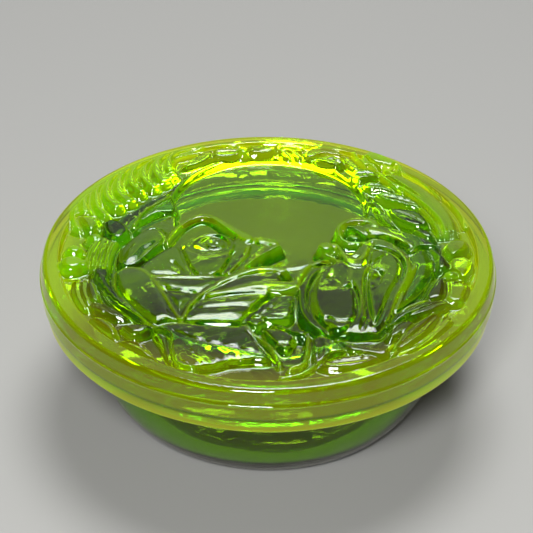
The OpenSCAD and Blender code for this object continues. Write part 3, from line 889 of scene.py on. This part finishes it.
def carve_left_side(c):
    """Knobs, ridged petals and leaves down the left side."""
    for k in range(4):
        x = -48.4 + 1.9 * k
        c.roll([(x + 2.6, 3.5 + 0.6 * k), (x + 1.0, -2.5), (x + 0.6, -9)], 2.0, 2.4, end=1.6)
    c.petal([(-45, 11.6), (-42.4, 13.6), (-38.6, 11.4), (-37, 7), (-38.8, 3.4), (-42, 3.2),
             (-44.6, 7)], 1.6, dome=1.5, reach=3)
    c.petal([(-52, 15.6), (-50.8, 9.6), (-47.6, 7), (-45.4, 10), (-46.4, 15)], 1.3, dome=1.2,
            reach=3)
    c.knob(-46.4, 4.4, 2.6, 2.9)
    c.knob(-51.4, -1.6, 3.0, 2.9)
    c.knob(-51.4, -7.6, 3.9, 3.4)
    c.groove([(-55, -5.4), (-53, -4.1), (-50, -4.0), (-47.6, -5.6)], 0.6, 0.8)
    for k in range(3):
        x = -49.6 + 1.8 * k
        c.leaf([(x, -11.5), (x + 1.6, -16), (x + 3.2, -22), (x + 4.4, -28), (x + 1.4, -25),
                (x - 0.8, -18)], 1.0 + 0.2 * k, [(x, -12), (x + 1.2, -20), (x + 4, -27.6)],
               dome=0.7)
    c.leaf([(-46, -10.4), (-41.6, -9.8), (-40.6, -15), (-37.6, -22), (-33, -28.6), (-28.8, -34),
            (-33.6, -30.6), (-39, -25), (-43.4, -18)], 1.6, [(-43, -11.6), (-38.6, -21), (-30, -33)],
           dome=0.8, veins=0.1, spacing=3)
    c.leaf([(-45.4, -24), (-41.4, -24.6), (-37, -28), (-34.4, -31), (-39, -31), (-43.6, -29)],
           1.2, [(-44.4, -25), (-39.6, -28), (-35, -31)], dome=0.9, veins=0.12)
    c.petal([(-45.2, -31.6), (-41.8, -30.6), (-38.6, -33.4), (-37.2, -38.2), (-40.6, -37.4)],
            1.4, dome=1.1, reach=2.6)
    c.petal([(-37, -35), (-33.6, -33.4), (-30, -33.8), (-28.4, -35.6), (-30.4, -38.2),
             (-34, -38.8)], 1.6, dome=1.0, reach=2.4)
    c.leaf([(-37, -39.8), (-31.6, -40), (-28.6, -44.4), (-26.6, -47.8), (-31.4, -45.6)],
           1.1, [(-35.6, -40.4), (-31, -43), (-27.2, -47.2)], dome=0.8)


def carve_feathers(c):
    """The fan of curved flutes that sweeps round the upper left."""
    flutes = (
        ((-50.6, 31.0), (-53.0, 23.0), (-52.4, 15.6), (-50.6, 10.0)),
        ((-45.6, 37.0), (-50.2, 27.4), (-50.2, 18.6), (-48.0, 12.4)),
        ((-41.6, 40.6), (-47.2, 30.6), (-47.2, 21.6), (-44.8, 15.8)),
        ((-38.0, 43.6), (-44.0, 34.0), (-44.6, 25.6), (-41.8, 19.8)),
        ((-34.0, 46.4), (-40.8, 37.6), (-41.6, 28.8), (-38.8, 23.4)),
        ((-30.0, 48.8), (-37.4, 40.8), (-38.4, 32.4), (-35.6, 27.4)),
        ((-26.4, 50.4), (-34.0, 43.0), (-35.0, 35.4), (-32.4, 30.6)),
        ((-23.0, 51.6), (-30.6, 45.4), (-31.4, 38.2), (-29.6, 33.6)),
        ((-19.8, 52.6), (-27.2, 47.6), (-28.4, 42.0), (-27.6, 38.4)),
    )
    for k, curve in enumerate(flutes):
        c.roll(curve, 2.0 + 0.5 * (k % 3), 1.8, end=3.6 + 0.9 * ((k + 1) % 3),
               lift=0.6 + 0.4 * (k % 2))
        c.groove([(x + 1.9 * (0.25 + 0.25 * i), y) for i, (x, y) in enumerate(curve)], 0.5, 0.7)
    # a long rib that follows the rim behind the flutes
    points = [(53.6 * math.cos(math.radians(d)), 53.6 * math.sin(math.radians(d)))
              for d in range(104, 172, 11)]
    c.roll(points, 1.2, 1.7, end=0.8)
    # leaf edges between the feathers and the medallion
    c.leaf([(-36.8, 10), (-35.4, 16), (-32, 21), (-27.6, 26), (-25.6, 22), (-25.4, 17.6),
            (-31, 16)], 1.4, [(-36, 12), (-31.6, 19), (-27, 24)], dome=0.6, veins=0.1)
    c.roll([(-36.4, 10.6), (-34.6, 16.4), (-31.4, 21), (-27.2, 25.4)], 1.3, 2.5)
    c.knob(-27, 36.4, 2.3, 2.6)
    c.groove([(-28.6, 36), (-27.6, 38), (-25.8, 37.6), (-25.4, 35.6)], 0.4, 0.8)


def carve_top(c):
    """The leaves along the back, between the medallion and the rim."""
    c.leaf([(-25, 41), (-22.6, 46.4), (-17, 50.8), (-16, 46.6), (-20, 42.4)],
           1.2, [(-24.4, 42), (-20.6, 46), (-17, 49.6)], dome=0.6)
    c.leaf([(-16, 46.4), (-15.4, 51.6), (-8.6, 52.2), (-9.4, 47)],
           1.3, [(-15.6, 49), (-12, 49.6), (-9, 49.6)], dome=0.7)
    c.knob(-7.4, 49.6, 2.4, 2.6)
    c.petal([(-6, 48.6), (-4.6, 53.6), (0.4, 53.4), (1.4, 49)], 1.3, dome=0.8, reach=2)
    c.roll([(-5.6, 53), (-2.6, 51), (1.8, 50.6)], 1.3, 2.4)
    for k in range(3):
        x = 1.6 + 3.2 * k
        c.leaf([(x - 0.6, 52.8 - 0.4 * k), (x + 2.2, 52.4 - 0.4 * k), (x + 4.8, 48.2 - 0.7 * k),
                (x + 3.0, 47.6 - 0.6 * k)], 1.3,
               [(x + 0.6, 52 - 0.4 * k), (x + 3.6, 48.4 - 0.6 * k)], dome=0.6)
    c.leaf([(9.6, 47.4), (11, 51.4), (16, 52.8), (20.6, 51), (21, 48), (16, 48.6), (12.6, 46.8)],
           1.3, [(10.6, 48), (15, 50.6), (20.4, 49.6)], dome=0.7)
    c.leaf([(12.6, 46), (16, 48), (20, 47.4), (21.6, 44), (19.6, 41.8), (16.4, 43)],
           1.6, [(13.6, 46), (17, 45.6), (20.8, 43.2)], dome=0.6, veins=0.12)
    c.leaf([(21, 48.4), (23, 47.6), (26.4, 41.4), (24.6, 39.8), (21.6, 43.6)],
           1.4, [(22, 47), (23.4, 43.4), (25.4, 40.6)], dome=0.6)
    c.roll([(24.4, 49.6), (25.4, 46), (27.6, 42)], 1.3, 2.5)
    for x, y, width in ((-12, 54.2, 8), (6, 54.2, 7), (16, 53, 7)):
        c.roll([(x - width / 2, y - 0.2), (x, y), (x + width / 2, y - 0.9)], 1.2, 1.5)


def carve_upper_right(c):
    """The ball, the long crescents and the small leaves at the upper right."""
    c.petal([(31.6, 37.4), (36, 38), (40.4, 34.6), (44.6, 29.4), (48.6, 22), (51, 14.4),
             (51.2, 8), (48.4, 8), (45.2, 17), (40.2, 26.4), (35, 33)],
            1.3, dome=1.2, reach=2.6, rim=0.2)
    c.roll([(47.8, 8), (46.4, 15), (42.6, 22.6), (38, 29), (33.6, 34)], 1.9, 2.6, end=1.2)
    c.roll([(46.2, 7.4), (44.8, 13.4), (42, 19.4), (37.4, 26.8), (32.6, 35), (28.6, 43)],
           1.2, 3.0, end=1.4)
    c.roll([(37.6, 40), (43, 34), (47.4, 27)], 1.3, 1.6, end=0.8)
    c.roll([(53.4, 12), (52.4, 18), (50, 24.6)], 1.3, 1.6, end=0.8)
    c.leaf([(23, 37.4), (25.4, 40.6), (29.4, 40), (31.4, 36.6), (28.6, 35), (25.2, 34)],
           1.7, [(24, 37), (27.6, 37.6), (30.8, 37)], dome=0.8, veins=0.12)
    c.leaf([(26, 33), (29.6, 34.4), (34, 31.4), (36, 28.6), (31.4, 29.4), (27.6, 30)],
           1.5, [(27, 32), (31, 31.6), (35.4, 29)], dome=0.7, veins=0.12)
    c.leaf([(29.4, 27.6), (33.4, 28.4), (38, 26.4), (42, 22), (41.6, 20), (36.4, 21.2),
            (31.4, 23.4)], 1.8, [(30.6, 26.4), (36, 24.2), (41.4, 21)], dome=0.8, veins=0.12)
    c.leaf([(32.6, 19.4), (37, 19.4), (41.4, 17.6), (43.6, 12.6), (41, 10), (37, 11.4),
            (34, 14.4)], 2.0, [(33.8, 18), (38, 15.4), (42, 11.6)], dome=1.0, veins=0.12)
    for k in range(3):
        y = 25 - 3.6 * k
        c.leaf([(27.8 + 0.8 * k, y), (30 + 0.8 * k, y - 0.4), (32.4 + 1.4 * k, y - 6.6),
                (30 + 1.2 * k, y - 6.2)], 1.2 + 0.2 * k,
               [(28.8 + 0.8 * k, y - 0.6), (31 + 1.2 * k, y - 6)], dome=0.5)
    c.petal([(38.6, 9.6), (42, 10), (44.6, 7.6), (44, 5), (40.6, 6)], 1.6, dome=0.8, reach=1.8)
    # the ball at the rim, with a curl below it
    c.roll([(36.4, 43.6), (37, 40.4), (35, 38), (32.8, 39.4)], 2.0, 2.6, end=1.4)
    c.knob(30.8, 45.4, 4.7, 4.4)
    c.knob(34.2, 43.4, 3.2, 3.4)
    c.groove([(27.6, 46.6), (28.4, 43.6), (31, 41.6), (33.6, 41.8)], 0.5, 0.7)


# ---- the lid -------------------------------------------------------------------------------

FIELD_R = 55.4  # radius of the carved field, in millimetres
MEDALLION = (0.0, 21.0, 27.0)  # middle and radius of the plain medallion
MEDALLION_D = 1.0  # depth of the medallion's edge below the ground of the relief
MEDALLION_HOLLOW = 0.35  # how much deeper its middle is
MEDALLION_LIP = 0.55  # height of the sharp lip round it


def ease(value, start, end):
    """0 before start, 1 after end, and a smooth step between them."""
    t = np.clip((value - start) / (end - start), 0, 1)
    return t * t * (3 - 2 * t)


def carve_ground(c):
    """The ground of the relief, with a sharp-edged medallion let into it."""
    x, y, radius = MEDALLION
    d = np.hypot(c.x - x, c.y - y)
    lip = ease(d, radius + 0.1, radius + 0.9) * (1 - ease(d, radius + 1.1, radius + 2.2))
    c.z -= MEDALLION_D * (1 - ease(d, radius - 0.5, radius + 0.1))
    c.z -= MEDALLION_HOLLOW * (1 - ease(d, 0, radius - 1))
    c.z += MEDALLION_LIP * lip


def carve_rim(c, rim_top, rim_r):
    """The flat rim round the field. What stands higher runs out over it."""
    r = np.hypot(c.x, c.y)
    foot_r = FIELD_R - 0.7
    rim = rim_top * ease(r, foot_r, FIELD_R + 0.2)
    run_out = c.z * (1 - ease(r, rim_r - 2.2, rim_r - 0.2))
    c.z = np.where(r > foot_r, np.maximum(run_out, rim), c.z)


def carve_ripple(c):
    """Slow waves all over, and the stippled patch that the mould left on the front leaf."""
    long_waves = np.sin(0.55 * c.x + 0.9 * np.sin(0.31 * c.y)) * np.sin(0.47 * c.y + 1.1)
    short_waves = np.sin(1.3 * c.x - 0.7 * c.y) * np.sin(0.9 * c.y + 0.4 * c.x)
    c.z += 0.035 * long_waves
    c.z += 0.02 * short_waves
    patch = np.exp(-(((c.x + 18) / 3.6) ** 2 + ((c.y + 44.6) / 3.4) ** 2) ** 2)
    stipple = np.random.default_rng(7).normal(0.0, 1.0, c.x.shape)
    c.z += 0.10 * patch * stipple


def lid_surface(sizes):
    """The carved top of the lid on a square grid eased out into a disc."""
    steps = np.linspace(-1, 1, 2 * sizes.grid + 1)
    a, b = np.meshgrid(steps, steps)
    radius = sizes.rim_r / MM
    c = Carving(radius * a * np.sqrt(1 - b * b / 2), radius * b * np.sqrt(1 - a * a / 2))
    carve_ground(c)
    carve_top(c)
    carve_feathers(c)
    carve_upper_right(c)
    carve_left_side(c)
    carve_right_side(c)
    carve_lower_leaves(c)
    carve_right_rose(c)
    carve_left_rose(c)
    c.settle(PRESSED_H, PRESSED_SHARE)
    c.soften(5)
    c = c.thinned()
    carve_ripple(c)
    carve_rim(c, sizes.ground_d / MM, radius)
    edge = np.hypot(c.x, c.y) > radius - 1e-6
    c.z[edge] = sizes.ground_d / MM
    return c


def lid_section(sizes):
    """Half section of the lid outside its carved top, from the edge of the flat rim, down the
    side with its bead, under the seat, round the locating ring and in to the middle."""
    top = SEAT + sizes.thickness
    turn, bead, edge, small = 1.5 * MM, 0.35 * MM, 0.8 * MM, 0.5 * MM
    bead_z = SEAT + sizes.bead_h
    inner_r = sizes.ring_r - sizes.ring_w
    ring_z, hollow_z = SEAT - sizes.ring_h, SEAT + sizes.hollow_h
    shoulder = arc((sizes.rim_r, top - turn), turn, 86, 8, 9)
    wall = LID_R - 0.3 * MM
    return (
        shoulder
        + line(shoulder[-1], (wall, bead_z + 2 * bead), 5)[1:]
        + arc((LID_R - bead, bead_z), bead, 70, -70, 6)
        + line((wall, bead_z - 2 * bead), (wall, SEAT + edge), 4)
        + arc((wall - edge, SEAT + edge), edge, 0, -90, 5)
        + line((wall - edge, SEAT), (sizes.ring_r + small, SEAT), 6)[1:]
        + arc((sizes.ring_r + small, SEAT - small), small, 90, 180, 3)
        + arc((sizes.ring_r - small, ring_z + small), small, 0, -90, 3)
        + arc((inner_r + small, ring_z + small), small, -90, -180, 3)
        + arc((inner_r - edge, hollow_z - edge), edge, 0, 90, 4)
        + line((inner_r - edge, hollow_z), (0.0, hollow_z), 8)[1:]
    )


def lid_mesh(sizes):
    """Points and faces of the whole lid: the carved top, and rings turned on from its edge; and
    how much of a lip each point of the top is."""
    c = lid_surface(sizes)
    n, m = sizes.grid, sizes.grid + 1
    ground = SEAT + sizes.thickness - sizes.ground_d
    points = [(x * MM, y * MM, ground + z * MM)
              for x, y, z in zip(c.x.ravel(), c.y.ravel(), c.z.ravel())]
    faces = [(j * m + i, j * m + i + 1, (j + 1) * m + i + 1, (j + 1) * m + i)
             for j in range(n) for i in range(n)]
    border = (list(range(n)) + [j * m + n for j in range(n)]
              + [n * m + i for i in range(n, 0, -1)] + [j * m for j in range(n, 0, -1)])
    count = len(border) // 3
    angles = [math.atan2(points[b][1], points[b][0]) for b in border[::3]]
    section = lid_section(sizes)
    first = len(points)
    for radius, height in section:
        points += [(radius * math.cos(a), radius * math.sin(a), height) for a in angles]
    for k in range(count):
        a, b, d = border[3 * k], border[3 * k + 1], border[3 * k + 2]
        e = border[(3 * k + 3) % len(border)]
        here, after = first + k, first + (k + 1) % count
        faces += [(b, a, here), (d, b, here, after), (e, d, after)]
    for k in range(len(section) - 1):
        faces += ring_faces(first + (k + 1) * count, first + k * count, count)
    points.append((0.0, 0.0, section[-1][1]))
    last = first + (len(section) - 1) * count
    faces += [(len(points) - 1, last + (k + 1) % count, last + k) for k in range(count)]
    return points, faces, list(c.lip.ravel())


# ---- operators -----------------------------------------------------------------------------


class DISH_OT_bowl(bpy.types.Operator):
    """Makes the bowl: base, rounded wall, flat flange and hollow, in one pressing"""

    bl_idname = "dish.bowl"
    bl_label = "Bowl"

    def execute(self, context):
        sizes = context.scene.dish_bowl
        colours = context.scene.dish_glass
        glass = glass_material("bowl_glass", colours, BOWL_WAVES, colours.bowl_density,
                               colours.bowl_glow_from, colours.bowl_edge_painted_glow,
                               SEAT - BOWL_SEAM_SHADE)
        points, faces = turned(bowl_section(sizes), sizes.segments, sizes.ripple)
        bowl = mesh_object("glass_bowl", points, faces, glass, "bowl", "bowl")
        return {"FINISHED"}


class DISH_OT_lid(bpy.types.Operator):
    """Makes the lid: a thick disc with roses and leaves carved round a plain medallion"""

    bl_idname = "dish.lid"
    bl_label = "Lid"

    def execute(self, context):
        sizes, colours = context.scene.dish_lid, context.scene.dish_glass
        glass = glass_material("lid_glass", colours, LID_WAVES, colours.lid_density,
                               colours.lid_glow_from, colours.lid_edge_painted_glow,
                               SEAT + LID_SEAM_SHADE)
        points, faces, lips = lid_mesh(sizes)
        lid = mesh_object("glass_lid", points, faces, glass, "lid", "lid", lips)
        return {"FINISHED"}


# ---- stage ---------------------------------------------------------------------------------

FLOOR_REACH = 3.0  # half the width of the floor
SENSOR = 36.0  # width of the camera's sensor in millimetres
AIM = (-0.4 * MM, 0.0, -5.3 * MM)  # what the camera faces, from the middle of the lid's rim


def hang_light(lamp, place):
    """Puts a light at place, facing the middle of the seam."""
    light = bpy.data.objects.new(lamp.name, lamp)
    light.location = place
    light.rotation_euler = turned_towards(np.subtract((0.0, 0.0, SEAT), place))
    bpy.context.scene.collection.objects.link(light)


def soft_light(name, place, size, energy):
    """A square soft light."""
    lamp = bpy.data.lights.new(name, "AREA")
    lamp.shape = "SQUARE"
    lamp.size = size
    lamp.energy = energy
    hang_light(lamp, place)


def even_light(name, place, angle, strength):
    """A far light that is as wide as angle and lights the whole floor alike."""
    lamp = bpy.data.lights.new(name, "SUN")
    lamp.angle = angle
    lamp.energy = strength
    hang_light(lamp, place)


def turned_towards(direction, roll=0.0):
    """Euler angles that point a camera or light along a direction, rolled about it."""
    facing = Vector(direction).to_track_quat("-Z", "Y").to_matrix()
    return (facing @ Matrix.Rotation(roll, 3, "Z")).to_euler()


def floor_material(colour):
    """Matt pale board with a faint mottle."""
    material = bpy.data.materials.new("pale_floor")
    material.use_nodes = True
    nodes, links = material.node_tree.nodes, material.node_tree.links
    shader = nodes["Principled BSDF"]
    shader.inputs["Roughness"].default_value = 0.8
    shader.inputs["Specular IOR Level"].default_value = 0.2
    mottle = noise(nodes, 9.0)
    shade = colour_range(nodes, [0.97 * v for v in colour], colour)
    links.new(mottle.outputs["Fac"], shade.inputs["Fac"])
    links.new(shade.outputs["Color"], shader.inputs["Base Color"])
    return material


def studio_world(horizon, ceiling):
    """A studio that is bright round the horizon and dim above."""
    world = bpy.data.worlds.new("studio")
    world.use_nodes = True
    nodes, links = world.node_tree.nodes, world.node_tree.links
    place = nodes.new("ShaderNodeTexCoord")
    split = nodes.new("ShaderNodeSeparateXYZ")
    band = value_range(nodes, 0.22, 0.50, horizon, ceiling)
    links.new(place.outputs["Generated"], split.inputs["Vector"])
    links.new(split.outputs["Z"], band.inputs["Value"])
    links.new(band.outputs["Result"], nodes["Background"].inputs["Strength"])
    nodes["Background"].inputs["Color"].default_value = (1.0, 1.0, 0.97, 1.0)
    return world


def pale_floor(colour):
    """The wide floor that the dish stands on."""
    r = FLOOR_REACH
    mesh = bpy.data.meshes.new("floor")
    mesh.from_pydata([(-r, -r, 0), (r, -r, 0), (r, r, 0), (-r, r, 0)], [], [(0, 1, 2, 3)])
    mesh.materials.append(floor_material(colour))
    floor = bpy.data.objects.new("floor", mesh)
    bpy.context.scene.collection.objects.link(floor)
    return floor


def view_camera(settings, middle):
    """The camera, in front of the dish and above it, facing a little below a middle."""
    away = np.array([0.0, -math.cos(settings.elevation), math.sin(settings.elevation)])
    place = middle + settings.distance * away
    lens = bpy.data.cameras.new("camera")
    lens.lens = settings.lens
    lens.sensor_width = SENSOR
    lens.clip_start = 0.01
    camera = bpy.data.objects.new("camera", lens)
    camera.location = place
    camera.rotation_euler = turned_towards(middle + AIM - place, settings.roll)
    bpy.context.scene.collection.objects.link(camera)
    return camera


class DISH_OT_stage(bpy.types.Operator):
    """Makes the pale floor, the soft studio light and the camera"""

    bl_idname = "dish.stage"
    bl_label = "Stage"

    def execute(self, context):
        scene, settings = context.scene, context.scene.dish_stage
        floor = pale_floor(settings.floor)
        soft_light("front_key", (-0.08, -0.60, 0.60), size=0.22, energy=6)
        soft_light("overhead", (0.05, 0.28, 0.75), size=0.40, energy=2.2)
        even_light("sky", (0.1, 0.56, 1.5), angle=math.radians(25), strength=1.3)
        soft_light("back_panel", (0.0, 0.62, 0.47), size=0.5, energy=0.35)
        scene.world = studio_world(settings.horizon, settings.ceiling)
        scene.view_settings.view_transform = "Standard"
        scene.cycles.max_bounces = 32
        scene.cycles.transmission_bounces = 24
        scene.cycles.glossy_bounces = 8
        scene.cycles.caustics_refractive = False
        rim_middle = np.array([0.0, 0.0, SEAT + scene.dish_lid.thickness])
        scene.camera = view_camera(settings, rim_middle)
        return {"FINISHED"}


class DISH_PT_panel(bpy.types.Panel):
    """Lists the pieces of the dish in the sidebar"""

    bl_label = "Glass Dish"
    bl_idname = "DISH_PT_panel"
    bl_space_type = "VIEW_3D"
    bl_region_type = "UI"
    bl_category = "Glass Dish"

    def draw(self, context):
        for step in STEPS:
            self.layout.operator(step.bl_idname)


STEPS = (DISH_OT_bowl, DISH_OT_lid, DISH_OT_stage)
GROUPS = {
    "dish_bowl": DishBowlSizes,
    "dish_lid": DishLidSizes,
    "dish_glass": DishGlassColours,
    "dish_stage": DishStageSettings,
}


def register():
    for group in GROUPS.values():
        bpy.utils.register_class(group)
    for name, group in GROUPS.items():
        setattr(bpy.types.Scene, name, bpy.props.PointerProperty(type=group))
    for step in (*STEPS, DISH_PT_panel):
        bpy.utils.register_class(step)


def unregister():
    for step in (DISH_PT_panel, *reversed(STEPS)):
        bpy.utils.unregister_class(step)
    for name, group in GROUPS.items():
        delattr(bpy.types.Scene, name)
        bpy.utils.unregister_class(group)


def main():
    register()
    bpy.ops.dish.bowl()
    bpy.ops.dish.lid()
    bpy.ops.dish.stage()


if __name__ == "__main__":
    main()
